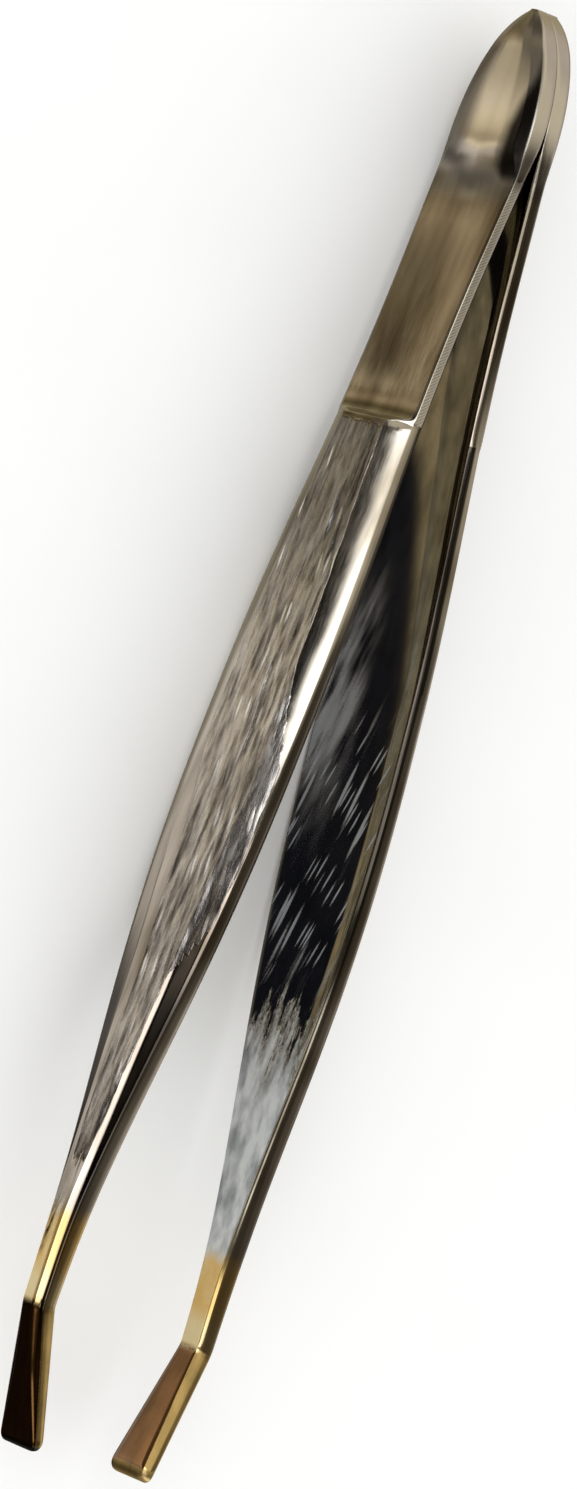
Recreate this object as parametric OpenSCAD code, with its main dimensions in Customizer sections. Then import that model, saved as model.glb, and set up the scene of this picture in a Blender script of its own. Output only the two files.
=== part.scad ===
// Angled-tip spring tweezers: two stamped and ground arms, welded face to face at the head.
// The tweezers lie on their side. +X points to the head, +Y to the left arm and +Z across the
// width of the arms. The origin is on the surface they lie on, under the middle of their box.
// Along an arm, s is the distance from the point of the head, measured along -X.

/* [Overall] */
// Length over all, from the point of the head to the ends of the jaws
overall_len = 95; // [88:0.5:110]
// Distance between the arms' inner faces at the knees, with the tweezers at rest
knee_gap = 11; // [9:0.1:13]
// Distance between the gripping faces at the ends of the jaws, with the tweezers at rest
tip_gap = 7.3; // [5:0.1:8.8]
// How far each arm bows out from a straight line between the weld and its knee
arm_bow = 0.66; // [0:0.02:1]

/* [Head] */
// Width of the head where its sides run parallel
head_w = 9; // [7:0.1:10]
// Length of the head's pointed arch
arch_len = 8.5; // [6:0.1:9]
// Width of the blunt end of the point
point_w = 0.8; // [0.4:0.1:1.2]
// How round the arch is towards its point, where 1 is sharp and 2 is an ellipse
point_roundness = 1.6; // [1.2:0.1:2]
// Thickness of each arm at the head
head_th = 1.35; // [1.1:0.05:1.6]
// Length of the weld that joins the two arms, from the point
weld_len = 8; // [5:0.1:9]
// Distance from the point to the end of the head's raised face, at its sides
face_len = 9.1; // [9.1:0.1:12]
// How much further the raised face reaches along its middle, in a shallow V
face_point_len = 1.7; // [0.4:0.1:1.8]
// Length of the slope that runs from the raised face down to the spring
slope_len = 1.6; // [1:0.1:3]
// Width of the bevel round the raised face
head_bevel_w = 1.1; // [0.4:0.05:1.4]
// Height of that bevel
head_bevel_h = 0.3; // [0.1:0.05:0.4]

/* [Spring] */
// Width of the spring at its waist
spring_w = 8.4; // [6.5:0.1:9.5]
// Distance from the point of the head to the waist
waist_at = 20.5; // [14:0.5:22]
// Thickness of the spring
spring_th = 0.85; // [0.6:0.05:1]
// Chamfer between the spring's edge and its inner face
spring_chamfer = 0.2; // [0.1:0.02:0.3]

/* [Grip] */
// Distance from the point of the head to the ledge where the grip starts
grip_start = 27.4; // [24:0.1:32]
// Length of the ledge's slope
ledge_len = 0.6; // [0.3:0.05:1]
// Width of the grip at its widest place
grip_w = 10.7; // [9:0.1:12.5]
// Distance from the point of the head to the widest place
widest_at = 45; // [36:0.5:50]
// How far the grip keeps its width before it tapers, where 1 is an even taper
grip_fullness = 1.38; // [1:0.01:1.8]
// Thickness of the grip at the ledge
grip_th = 1.65; // [1.3:0.05:2]
// Height of the grip's edge wall at the ledge
grip_edge_h = 0.72; // [0.6:0.02:1]
// Width of the bevel on each side of the grip's outer face
grip_bevel_w = 2.05; // [1:0.05:2.6]
// Largest share of the arm's half width that a bevel takes, where the grip narrows
bevel_share = 0.48; // [0.4:0.02:0.6]
// Rise of the crowned outer face in its middle
crown_h = 0.15; // [0.05:0.01:0.25]
// Chamfer between the edge wall and the inner face, from the ledge to the jaws
edge_chamfer = 0.24; // [0.1:0.02:0.3]
// Distance from the point of the head to the lower end of the grip, where the edge wall is highest
grip_end = 64; // [58:0.5:66]
// Thickness of the arm there
grip_end_th = 1.48; // [1.4:0.02:1.7]
// Height of the edge wall there
grip_end_edge_h = 1.08; // [0.9:0.02:1.2]

/* [Neck and knee] */
// Width of the neck, which it keeps as far as the knee
neck_w = 2.54; // [2:0.02:3.4]
// Length of the narrow neck, back from the knee
neck_len = 2.1; // [1:0.1:4]
// Distance from the knee back to the place where the arm has its neck section
neck_section_at = 6; // [4:0.5:10]
// Thickness of the neck
neck_th = 1.65; // [1.5:0.05:1.8]
// Height of the neck's edge wall
neck_edge_h = 1.2; // [1.1:0.05:1.3]
// Height of the lower facet of the neck's edge wall
neck_facet_h = 0.6; // [0.4:0.05:0.65]
// Chamfer beside the neck's outer face
neck_corner = 0.38; // [0.1:0.02:0.45]
// Distance from the point of the head to where that chamfer starts to grow
corner_from = 54; // [50:0.5:60]
// Thickness at the knee
knee_th = 1.4; // [1.3:0.05:1.6]
// Length along the arm over which the knee bends
knee_len = 0.8; // [0.4:0.1:3]

/* [Jaws] */
// Length of each jaw, from its knee to its end
jaw_len = 8.9; // [7:0.1:12]
// Width of each jaw at its end
tip_w = 4.4; // [2.6:0.1:6]
// Thickness of each jaw at its end
tip_th = 0.8; // [0.65:0.05:1]
// Radius of the corners at the end, seen on the gripping face
tip_corner_r = 0.55; // [0.1:0.05:0.8]
// Length of the rounding that leads in to the gripping face at the end
lead_in_len = 0.95; // [0.3:0.05:1.2]
// Height of that rounding
lead_in_h = 0.4; // [0.1:0.05:0.45]

/* [Hidden] */

// Places along the arm
knee_at = overall_len - jaw_len;
neck_at = knee_at - neck_len;
neck_section_s = knee_at - neck_section_at;
ledge_top = grip_start - ledge_len / 2;
ledge_foot = grip_start + ledge_len / 2;
face_end = face_len;
slope_end = face_len + slope_len;
slope_far_end = slope_end + face_point_len;

// The jaw's slope towards the middle, and where its inner face ends
jaw_slope = (knee_gap - tip_gap) / 2 / jaw_len;
jaw_angle = atan(jaw_slope);
path_end = overall_len - tip_th * sin(jaw_angle);

// Height of the middle of the arms above the surface: the widest place rests on it
mid_z = max(head_w, spring_w, grip_w, tip_w) / 2;

// Softened corners, the spring's edge and the ends of the jaws
seam_chamfer = 0.06;
facet_w = 0.05;
facet_over_chamfer = 0.12;
spring_edge_h = spring_th - 0.07;
spring_bevel_w = 0.26;
tip_corner = 0.04;
tip_edge_h = tip_th - 0.08;
tip_bevel_w = 0.12;
crown_fade_h = 0.04;
spring_crown_h = 0.03;
end_soft_h = 0.12;

// The raised face stays parallel to the weld, so the arm thins as it leans away from it
face_end_th = head_th - bowed_gap(face_end);

// How each part of the section changes along the arm, as pairs of place and size
thickness_run = [[0, head_th], [weld_len, head_th], [face_end, face_end_th],
    [slope_end, spring_th], [ledge_top, spring_th],
    [ledge_foot, grip_th], [grip_end, grip_end_th],
    [neck_section_s, neck_th], [knee_at, knee_th], [path_end, tip_th]];
edge_run = [[0, head_th - head_bevel_h], [weld_len, head_th - head_bevel_h],
    [face_end, face_end_th - head_bevel_h], [slope_end, spring_edge_h], [ledge_top, spring_edge_h],
    [ledge_foot, grip_edge_h], [grip_end, grip_end_edge_h],
    [neck_section_s, neck_edge_h], [path_end, tip_edge_h]];
bevel_run = [[0, head_bevel_w], [face_end, head_bevel_w], [slope_end, spring_bevel_w],
    [ledge_top, spring_bevel_w], [ledge_foot, grip_bevel_w], [neck_section_s, grip_bevel_w],
    [path_end, tip_bevel_w]];
corner_run = [[0, 0], [corner_from, 0], [neck_section_s, neck_corner],
    [knee_at, neck_corner], [path_end, tip_corner]];
crown_run = [[0, crown_h], [face_end, crown_h], [slope_end, spring_crown_h],
    [ledge_top, spring_crown_h], [ledge_foot, crown_h], [widest_at, crown_h],
    [neck_section_s, crown_fade_h], [path_end, crown_fade_h]];
chamfer_run = [[0, seam_chamfer], [weld_len, seam_chamfer], [slope_end, spring_chamfer],
    [ledge_top, spring_chamfer], [ledge_foot, edge_chamfer], [path_end, edge_chamfer]];
facet_h_run = [[0, seam_chamfer + facet_over_chamfer],
    [weld_len, seam_chamfer + facet_over_chamfer],
    [slope_end, spring_chamfer + facet_over_chamfer],
    [ledge_top, spring_chamfer + facet_over_chamfer],
    [ledge_foot, edge_chamfer + facet_over_chamfer],
    [grip_end, edge_chamfer + facet_over_chamfer],
    [neck_section_s, neck_facet_h], [knee_at, neck_facet_h],
    [path_end, edge_chamfer + facet_over_chamfer]];

// Where the sections stand: close together on the arch, the slopes, the knee and the end
arch_steps = 10;
slope_steps = 7;
spring_steps = 8;
ledge_steps = 3;
grip_steps = 36;
knee_steps = 6;
jaw_steps = 4;
end_steps = 6;
knee_from = knee_at - knee_len / 2;
knee_to = knee_at + knee_len / 2;
end_from = path_end - lead_in_len;
places = concat(
    [for (i = [0 : arch_steps]) arch_len * (1 - cos(90 * i / arch_steps))],
    [for (i = [0 : slope_steps]) face_end + (slope_far_end - face_end) * i / slope_steps],
    [for (i = [1 : spring_steps - 1])
        slope_far_end + (ledge_top - slope_far_end) * i / spring_steps],
    [for (i = [0 : ledge_steps]) ledge_top + ledge_len * i / ledge_steps],
    [for (i = [1 : grip_steps]) ledge_foot + (knee_from - ledge_foot) * i / grip_steps],
    [for (i = [1 : knee_steps]) knee_from + knee_len * i / knee_steps],
    [for (i = [1 : jaw_steps]) knee_to + (end_from - knee_to) * i / jaw_steps],
    [for (i = [1 : end_steps]) end_from + lead_in_len * sin(90 * i / end_steps)]
);

// A smooth run from one size to another, as u goes from 0 to 1
function ease(from, to, u) = from + (to - from) * (1 - cos(180 * u)) / 2;

// Share of a rounding's size that is cut away d before the end of a rounding of length len
function rounded_off(d, len) = d >= len ? 0 : 1 - sqrt(1 - pow(1 - max(d, 0) / len, 2));

// Half the width of the head: two curves that meet at the point and run into straight sides
function arch_half_w(s) =
    let (along = 1 - s / arch_len)
    max(point_w / 2, head_w / 2 * pow(1 - pow(along, 2), 1 / point_roundness));

// Half the width of an arm, seen square to its inner face
function plan_half_w(s) =
    s < arch_len ? arch_half_w(s) :
    s < waist_at ? ease(head_w / 2, spring_w / 2, (s - arch_len) / (waist_at - arch_len)) :
    s < widest_at ? ease(spring_w / 2, grip_w / 2, (s - waist_at) / (widest_at - waist_at)) :
    s < neck_at ? ease(grip_w / 2, neck_w / 2,
        pow((s - widest_at) / (neck_at - widest_at), grip_fullness)) :
    s < knee_at ? neck_w / 2 :
    neck_w / 2 + (tip_w - neck_w) / 2 * (s - knee_at) / (path_end - knee_at);

function half_w(s) = plan_half_w(s) - tip_corner_r * rounded_off(path_end - s, tip_corner_r);

// Distance of the inner face from the middle: shut at the weld, then a shallow bow to the knee
function bowed_gap(s) =
    let (u = (s - weld_len) / (knee_at - weld_len))
    s <= weld_len ? 0 : knee_gap / 2 * u + 4 * arm_bow * u * (1 - u);

function jaw_gap(s) = knee_gap / 2 - jaw_slope * (s - knee_at);

// The knee rounds the corner between the bow and the jaw
function inner_gap(s) =
    let (u = (s - knee_from) / knee_len)
    s <= knee_from ? bowed_gap(s) :
    s >= knee_to ? jaw_gap(s) :
    pow(1 - u, 2) * bowed_gap(knee_from) + 2 * u * (1 - u) * knee_gap / 2
        + pow(u, 2) * jaw_gap(knee_to);

// Angle of the inner face to the middle plane, from a short step on each side
function lean_angle(s) =
    let (step = 0.01)
    atan((inner_gap(s + step) - inner_gap(s - step)) / (2 * step));

// Thickness of an arm of half width w at z from its centre line. The slope behind the head's
// raised face starts later in the middle than at the sides, and the ledge runs straight across.
function outer_h(s, z, w) =
    let (fade = min(1, max(0, (ledge_top - s) / (ledge_top - slope_end))))
    lookup(s - face_point_len * (1 - z / w) * fade, thickness_run);

// Width of a bevel on an arm of half width w. Where the arm narrows, its bevels narrow with it
function bevel_w(s, w) = min(lookup(s, bevel_run), w * bevel_share);

// Rise of the outer face over the top of the edge wall, at z from the centre line. The head's
// bevels keep their slope at its point, so its face sinks there.
function face_rise(s, z, w) =
    (outer_h(s, z, w) - lookup(s, edge_run)) * (s < arch_len ? bevel_w(s, w) / head_bevel_w : 1);

// Rise of the crowned face over its corners, less where the face is narrow
function crown_at(s, w) = lookup(s, crown_run) * min(1, w - bevel_w(s, w));

// Upper half of a section, from the middle of the inner face to the middle of the outer one.
// Each point is its height above the inner face and its distance from the arm's centre line.
function half_section(s) =
    let (w = half_w(s))
    let (bevel = bevel_w(s, w))
    let (face_w = w - bevel)
    let (chamfer = min(lookup(s, chamfer_run), w / 4))
    let (set_back = min(facet_w, w / 8))
    let (edge_h = lookup(s, edge_run))
    let (rise = face_rise(s, face_w, w))
    let (corner = min(lookup(s, corner_run), rise * 2 / 3))
    let (foot = max(corner, bevel / 6))
    let (drop = corner + (foot - corner) * (rise - corner) / (bevel - corner))
    [
        [0, w - set_back - chamfer],
        [chamfer, w - set_back],
        [lookup(s, facet_h_run), w],
        [edge_h, w],
        [edge_h + rise - drop, face_w + foot],
        [edge_h + rise, face_w],
        [edge_h + face_rise(s, face_w / 2, w) + crown_at(s, w) * 3 / 4, face_w / 2]
    ];

function crest_h(s) =
    let (w = half_w(s))
    lookup(s, edge_run) + face_rise(s, 0, w) + crown_at(s, w);

// A whole section, closed: both halves and the two middle points
function section(s) =
    let (half = half_section(s))
    concat([[0, 0]], half, [[crest_h(s), 0]],
        [for (i = [len(half) - 1 : -1 : 0]) [half[i][0], -half[i][1]]]);

// At the end of the jaw the section draws in from both faces
function end_height(h, s) =
    let (cut_in = lead_in_h * rounded_off(path_end - s, lead_in_len))
    let (cut_out = end_soft_h * rounded_off(path_end - s, tip_corner_r))
    let (full = crest_h(s))
    cut_in + h * (full - cut_in - cut_out) / full;

// The section's points in place on the left arm
function ring(s) =
    let (angle = lean_angle(s))
    [for (p = section(s))
        let (h = end_height(p[0], s))
        [overall_len / 2 - s + h * sin(angle), inner_gap(s) + h * cos(angle), mid_z + p[1]]];

module arm() {
    rings = [for (s = places) ring(s)];
    around = len(rings[0]);
    crest = around / 2;
    last = len(rings) - 1;
    fan = [for (i = [0 : around - 1]) if (i != crest && i != crest - 1) [i, (i + 1) % around]];
    polyhedron(
        points = [for (r = rings) each r],
        faces = concat(
            [for (f = fan) [crest, f[0], f[1]]],
            [for (k = [0 : last - 1], i = [0 : around - 1])
                let (j = (i + 1) % around)
                [k * around + j, k * around + i, (k + 1) * around + i, (k + 1) * around + j]],
            [for (f = fan) [last * around + crest, last * around + f[1], last * around + f[0]]]
        )
    );
}

module left_arm() {
    color("silver") arm();
}

module right_arm() {
    color("gainsboro") mirror([0, 1, 0]) arm();
}

left_arm();
right_arm();
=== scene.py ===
"""Spring tweezers, dressed round their two packed arms: nickel-plated and polished, with
scratch-ground grips, satin inner faces at the necks and gold-plated jaws.

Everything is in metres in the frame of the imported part: +X to the head, +Y to the left arm and
+Z across the width of the arms. Along an arm, s is the distance in mm from the point of the head.
"""

import math

import bpy
import numpy as np
from mathutils import Matrix, Vector


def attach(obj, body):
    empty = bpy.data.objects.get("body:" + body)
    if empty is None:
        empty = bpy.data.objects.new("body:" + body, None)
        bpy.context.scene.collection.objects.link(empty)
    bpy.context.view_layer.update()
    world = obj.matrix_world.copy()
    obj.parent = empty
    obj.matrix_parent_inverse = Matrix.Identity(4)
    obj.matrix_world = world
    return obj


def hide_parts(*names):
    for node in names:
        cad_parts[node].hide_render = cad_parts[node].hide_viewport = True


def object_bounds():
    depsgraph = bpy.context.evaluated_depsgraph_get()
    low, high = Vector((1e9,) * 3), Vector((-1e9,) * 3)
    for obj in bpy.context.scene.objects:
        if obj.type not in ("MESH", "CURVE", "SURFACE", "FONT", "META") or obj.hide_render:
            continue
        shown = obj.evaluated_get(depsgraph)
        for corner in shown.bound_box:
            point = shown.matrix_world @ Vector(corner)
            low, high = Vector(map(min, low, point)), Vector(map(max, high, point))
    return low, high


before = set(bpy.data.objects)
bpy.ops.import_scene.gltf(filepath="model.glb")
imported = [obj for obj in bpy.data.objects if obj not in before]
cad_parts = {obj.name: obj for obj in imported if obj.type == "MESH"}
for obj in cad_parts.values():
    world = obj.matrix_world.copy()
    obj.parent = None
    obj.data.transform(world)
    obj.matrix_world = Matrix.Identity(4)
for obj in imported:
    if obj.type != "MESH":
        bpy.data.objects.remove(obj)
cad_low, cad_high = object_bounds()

MM = 0.001
POINT_X = cad_high.x
MIDDLE_Z = (cad_low.z + cad_high.z) / 2

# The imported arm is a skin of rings, each with this many points. Column 0 runs along the middle of
# the inner face and the crest along the middle of the outer one, with these lines between them.
ROUND = 16
FLAT_END, CHAMFER, RIDGE, EDGE_TOP, CORNER_FOOT, FACE_CORNER = 1, 2, 3, 4, 5, 6
CREST = ROUND // 2

# Points of the skin that lie closer than this are one point
SAME_PLACE = 0.001 * MM

# Places along the arm, in mm from the point of the head
HEAD_FOOT = 11.0
NOTCH = (10.5, 12.4)
LEDGE = 27.4
LEDGE_FOOT = 27.75
GRIP_TEXTURE = (27.9, 79.0)
HAZE = (38.0, 51.0)
SCRATCHED = (46.0, 62.0)
SATIN_FROM = 66.5
GOLD_FROM = 80.2
MATT_GOLD_FROM = 81.0
KNEE = 86.1
JAW_END = (cad_high.x - cad_low.x) / MM

# How much a place looks away from the other arm, from -1 to 1: more than this on the wide bevels,
# on the outer face and on the face of the head, and less than the last on the inner face
BEVEL_OUT, FACE_OUT, HEAD_OUT, INNER_OUT = 0.3, 0.6, 0.7, -0.97

# How sharp the lines of an arm stay when it is rounded, from 0 to 1
SHARP_LINE, SOFT_LINE, LEDGE_LINE = 0.8, 0.6, 0.5


def both_sides(*columns):
    """These columns and their twins on the other side of the section."""
    return [*columns, *(ROUND - column for column in columns)]


def smooth_step(x, low, high):
    """0 as far as low, 1 from high on, and a soft rise between them."""
    t = np.clip((x - low) / (high - low), 0, 1)
    return t * t * (3 - 2 * t)


def band(x, rise, fall):
    """1 between a soft rise and a soft fall, each a range of x, and 0 outside them."""
    return smooth_step(x, *rise) * (1 - smooth_step(x, *fall))


# Shape of the arms


def only(piece):
    """Leaves one piece selected and active."""
    bpy.ops.object.select_all(action="DESELECT")
    piece.select_set(True)
    bpy.context.view_layer.objects.active = piece


def joined_copy(node, name):
    """A copy of a packed arm's skin as a piece of its own, with its loose triangles joined."""
    piece = bpy.data.objects.new(name, node.data.copy())
    bpy.context.scene.collection.objects.link(piece)
    piece.data.materials.clear()
    only(piece)
    bpy.ops.object.mode_set(mode="EDIT")
    bpy.ops.mesh.select_all(action="SELECT")
    bpy.ops.mesh.remove_doubles(threshold=SAME_PLACE)
    bpy.ops.object.mode_set(mode="OBJECT")
    return piece


def points_of(mesh):
    """The places of the vertices, a row of x, y and z for each."""
    co = np.empty(len(mesh.vertices) * 3)
    mesh.vertices.foreach_get("co", co)
    return co.reshape(-1, 3)


def ends_of_edges(mesh):
    """The first and the second vertex of each edge."""
    return np.array([edge.vertices[:] for edge in mesh.edges]).T


def rings_and_columns(mesh):
    """The ring and the column of each vertex of the joined skin. Ring 0 is the point of the
    head, and the next ring is every vertex one edge further on. The columns of a ring are counted
    round it from the middle of the inner face."""
    co = points_of(mesh)
    near = [[] for _ in co]
    for edge in mesh.edges:
        a, b = edge.vertices
        near[a].append(b)
        near[b].append(a)
    ring = np.full(len(co), -1)
    front = np.flatnonzero(co[:, 0] > POINT_X - SAME_PLACE).tolist()
    count = 0
    while front:
        ring[front] = count
        front = sorted({j for i in front for j in near[i] if ring[j] < 0})
        count += 1
    column = np.full(len(co), -1)
    for r in range(count):
        at = np.flatnonzero(ring == r)
        y = np.abs(co[at, 1])
        z = co[at, 2] - MIDDLE_Z
        turn = np.arctan2(y - y.mean(), z)
        start = at[np.argmin(np.abs(z) / MM + y / MM)]
        from_start = (turn - turn[at == start]) % (2 * math.pi)
        column[at[np.argsort(np.round(from_start, 9))]] = np.arange(len(at))
    return ring, column, count


def section_sizes(mesh, ring, column, count):
    """The sizes of the arm's section at each ring, in mm, for look-ups along s."""
    table = np.empty((count, ROUND, 3))
    table[ring, column] = points_of(mesh)
    return {
        "s": (POINT_X - table[:, 0, 0]) / MM,
        "thickness": np.linalg.norm(table[:, CREST] - table[:, 0], axis=1) / MM,
        "half_width": (table[:, RIDGE, 2] - MIDDLE_Z) / MM,
        "face_half": (table[:, FACE_CORNER, 2] - MIDDLE_Z) / MM,
        "chamfer_foot": (table[:, CORNER_FOOT, 2] - MIDDLE_Z) / MM,
    }


def size_at(sizes, name, s):
    """One size of the section at these places along the arm, in mm."""
    return np.interp(s, sizes["s"], sizes[name])


def select_edges(mesh, wanted):
    """Selects just these edges, and leaves the mesh in edge mode."""
    bpy.context.tool_settings.mesh_select_mode = (False, True, False)
    mesh.vertices.foreach_set("select", [False] * len(mesh.vertices))
    mesh.polygons.foreach_set("select", [False] * len(mesh.polygons))
    mesh.edges.foreach_set("select", wanted)


def dissolve_diagonals(piece, ring, column):
    """Makes the triangles of the skin into four-sided faces, and each end into one face."""
    a, b = ends_of_edges(piece.data)
    along = (ring[a] != ring[b]) & (column[a] == column[b])
    step = (column[a] - column[b]) % ROUND
    around = (ring[a] == ring[b]) & ((step == 1) | (step == ROUND - 1))
    select_edges(piece.data, ~(along | around))
    bpy.ops.object.mode_set(mode="EDIT")
    bpy.ops.mesh.dissolve_edges(use_verts=False)
    bpy.ops.object.mode_set(mode="OBJECT")


def crease(piece, wanted, value):
    """Keeps these edges this sharp when the arm is rounded."""
    select_edges(piece.data, wanted)
    bpy.ops.object.mode_set(mode="EDIT")
    bpy.ops.transform.edge_crease(value=value)
    bpy.ops.object.mode_set(mode="OBJECT")


def crease_lines(piece, ring, column, count, sizes):
    """Creases the lines along an arm, its two ends and the foot of the ledge."""
    a, b = ends_of_edges(piece.data)
    along = ring[a] != ring[b]
    for lines, value in (
        (both_sides(FLAT_END, CHAMFER, RIDGE, EDGE_TOP), SHARP_LINE),
        (both_sides(CORNER_FOOT, FACE_CORNER), SOFT_LINE),
    ):
        crease(piece, along & np.isin(column[a], lines), value)
    crease(piece, ~along & np.isin(ring[a], [0, count - 1]), SOFT_LINE)
    at_ledge = np.abs(sizes["s"][ring[a]] - LEDGE_FOOT) < 0.2
    outside = (column[a] > EDGE_TOP) & (column[a] < ROUND - EDGE_TOP)
    crease(piece, ~along & at_ledge & outside, LEDGE_LINE)


def add_face_lines(piece, ring, column, cuts):
    """Adds lines along the outer face, so that it can carry the grinding marks."""
    a, b = ends_of_edges(piece.data)
    low = np.minimum(column[a], column[b])
    high = np.maximum(column[a], column[b])
    on_face = (low >= FACE_CORNER) & (high <= ROUND - FACE_CORNER)
    select_edges(piece.data, on_face & (ring[a] == ring[b]) & (high - low == 1))
    bpy.ops.object.mode_set(mode="EDIT")
    bpy.ops.mesh.subdivide(number_cuts=cuts)
    bpy.ops.object.mode_set(mode="OBJECT")


def smooth_piece(piece, levels):
    """Rounds a piece between its creases."""
    skin = piece.modifiers.new("polished round", "SUBSURF")
    skin.levels = skin.render_levels = levels
    only(piece)
    bpy.ops.object.modifier_apply(modifier=skin.name)


def facing_out(mesh, side):
    """How much each point of an arm faces away from the other arm, from -1 to 1."""
    normal = np.empty(len(mesh.vertices) * 3)
    mesh.vertices.foreach_get("normal", normal)
    return normal[1::3] * side


def place_across(co, sizes):
    """Where each point lies across its arm, from -1 at the lower edge to 1 at the upper one."""
    s = (POINT_X - co[:, 0]) / MM
    z = (co[:, 2] - MIDDLE_Z) / MM
    return np.clip(z / size_at(sizes, "half_width", s), -1, 1)


# The head's raised face droops towards the point over DROOP_LONG, by FACE_DROOP times the square
# of the distance into it, and its nose drops by NOSE_DROP more over NOSE_LONG, all in mm
FACE_DROOP, DROOP_LONG = 0.0025, 6.5
NOSE_DROP, NOSE_LONG = 0.2, 2.4


def dome_head(co, sizes, side):
    """Lets the head's raised face fall away towards the point, as a belt leaves it. The face that
    is welded stays flat."""
    s = (POINT_X - co[:, 0]) / MM
    fall = FACE_DROOP * np.clip(DROOP_LONG - s, 0, None) ** 2
    fall += NOSE_DROP * (1 - smooth_step(s, 0, NOSE_LONG))
    height = np.clip(side * co[:, 1] / MM / size_at(sizes, "thickness", s), 0, 1)
    co[:, 1] -= side * fall * height * MM


# How far the wide bevels of the grips stand out of flat at their middle, in mm
BEVEL_SWELL = 0.06


def round_bevels(co, out, sizes, side):
    """Rounds the wide bevels of the grips a little across, as a slack belt leaves them."""
    s = (POINT_X - co[:, 0]) / MM
    z = np.abs(co[:, 2] - MIDDLE_Z) / MM
    inner = size_at(sizes, "face_half", s)
    outer = size_at(sizes, "half_width", s)
    across = np.clip((z - inner) / np.maximum(outer - inner, 0.01), 0, 1)
    along = band(s, (LEDGE + 0.05, LEDGE + 0.3), (52, 60))
    swell = BEVEL_SWELL * 4 * across * (1 - across) * along * (out > BEVEL_OUT)
    co[:, 1] += side * swell * MM


def texture_reach(sizes, s):
    """The lower and upper limits of the ground texture, in mm from the middle of the arm. On its
    way to the neck it leaves a smooth strip below and spreads over the bevel above."""
    margin = 0.2
    strip_wide = 1.2
    face = size_at(sizes, "face_half", s)
    edge = size_at(sizes, "half_width", s) - margin
    strip = strip_wide * smooth_step(s, 48, 56) * (1 - 0.6 * smooth_step(s, 64, 72))
    over = band(s, (43, 52), (60, 65))
    return strip - face, face + (edge - face) * over


# The grinding strokes on a grip: how many there are, the ranges of their length, width and depth
# in mm, and how far they slant, in degrees. A stroke with a depth below 0 stands up.
STROKES = 700
STROKE_LONG = (0.5, 1.8)
STROKE_WIDE = (0.08, 0.2)
STROKE_DEEP = (-0.03, 0.035)
STROKE_SLANT = 6


def grind_grip(co, out, sizes, side, seed):
    """Sinks coarse grinding strokes into the outer face of the grip. Returns each point's share
    of the ground finish, and how high it stands on the strokes."""
    s = (POINT_X - co[:, 0]) / MM
    z = (co[:, 2] - MIDDLE_Z) / MM
    start, end = GRIP_TEXTURE
    low, high = texture_reach(sizes, s)
    share = smooth_step(np.minimum(z - low, high - z), -0.15, 0.15) * (out > FACE_OUT)
    share *= band(s, (start - 0.1, start + 0.2), (end - 5, end))
    at = np.flatnonzero(share > 0)
    sa = s[at]
    za = z[at]
    rng = np.random.default_rng(seed)
    depth = np.zeros(len(at))
    for _ in range(STROKES):
        s0 = rng.uniform(start, end)
        z0 = rng.uniform(-1, 1) * size_at(sizes, "half_width", s0)
        long = rng.uniform(*STROKE_LONG)
        wide = rng.uniform(*STROKE_WIDE)
        slant = math.tan(math.radians(rng.normal(0, STROKE_SLANT)))
        deep = rng.uniform(*STROKE_DEEP)
        off = (za - z0 - slant * (sa - s0)) / wide
        depth += deep * np.exp(-0.5 * off**2 - 0.5 * ((sa - s0) / long) ** 4)
    co[at, 1] -= side * depth * share[at] * MM
    height = np.zeros(len(co))
    height[at] = -depth / STROKE_DEEP[1]
    return share, height


# Where the painted shade along the upper side of the head begins, from -1 to 1 across the arm, by
# the distance from the point of the head in mm
HEAD_BORDER = ((0, 1.0), (4, 0.85), (6, 0.62), (7.7, 0.5), (10.3, 0.5), (11.3, 0.62), (12.2, 1.0))

# How much painted shade darkens each place, from 0 to 1
PAINTED_SHADE = {
    "lower border": 0.75,
    "nose": 0.35,
    "notch": 0.45,
    "walls": 0.6,
    "spring": 0.5,
    "corners": 0.85,
    "neck": 0.9,
}


def head_painted_shade(s, out, across):
    """Painted shade on the head's face: dark along its upper border, and less so along the lower
    one and at the nose."""
    border = np.interp(s, *zip(*HEAD_BORDER))
    upper = smooth_step(across - border, -0.14, 0.14)
    lower = PAINTED_SHADE["lower border"] * (1 - smooth_step(across, -0.66, -0.24))
    lower *= 1 - smooth_step(s, 9.6, 11.6)
    nose = PAINTED_SHADE["nose"] * (1 - smooth_step(s, 4, 7))
    face = band(s, (1.6, 3), (10.6, 12)) * (out > HEAD_OUT)
    return np.max([upper, lower, nose], axis=0) * face


def painted_shade_share(co, out, across, sizes, side):
    """How much painted shade darkens each point, from 0 to 1: the borders of the head's face, the
    notch at its foot and the walls beside it, the lower side of the spring, the slanted corners
    beside the inner faces of the grips, the bevels of the neck, and the left arm's tip."""
    s = (POINT_X - co[:, 0]) / MM
    head = head_painted_shade(s, out, across)
    notch = PAINTED_SHADE["notch"] * band(s, (10.2, 11.4), (11.8, 15)) * (out > HEAD_OUT)
    walls = PAINTED_SHADE["walls"] * band(s, (8.6, 9.6), (11, 12)) * (np.abs(out) < HEAD_OUT)
    spring = PAINTED_SHADE["spring"] * band(s, (13, 17), (LEDGE - 4, LEDGE))
    spring *= (1 - smooth_step(across, -0.3, 0.62)) * (out > 0.8) * (s < LEDGE)
    slanted_in = (out < -0.15) & (out > INNER_OUT)
    corners = PAINTED_SHADE["corners"] * slanted_in * (s > LEDGE) * (1 - smooth_step(s, 60, 66))
    past_chamfer = np.abs(co[:, 2] - MIDDLE_Z) / MM - size_at(sizes, "chamfer_foot", s)
    neck = PAINTED_SHADE["neck"] * smooth_step(past_chamfer, -0.04, 0.06) * (out > 0.12)
    neck *= band(s, (59, 67), (KNEE, KNEE + 1))
    tip = (side > 0) * smooth_step(s, JAW_END - 0.5, JAW_END - 0.3)
    return np.max([head, notch, walls, spring, corners, neck, tip], axis=0)


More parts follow.
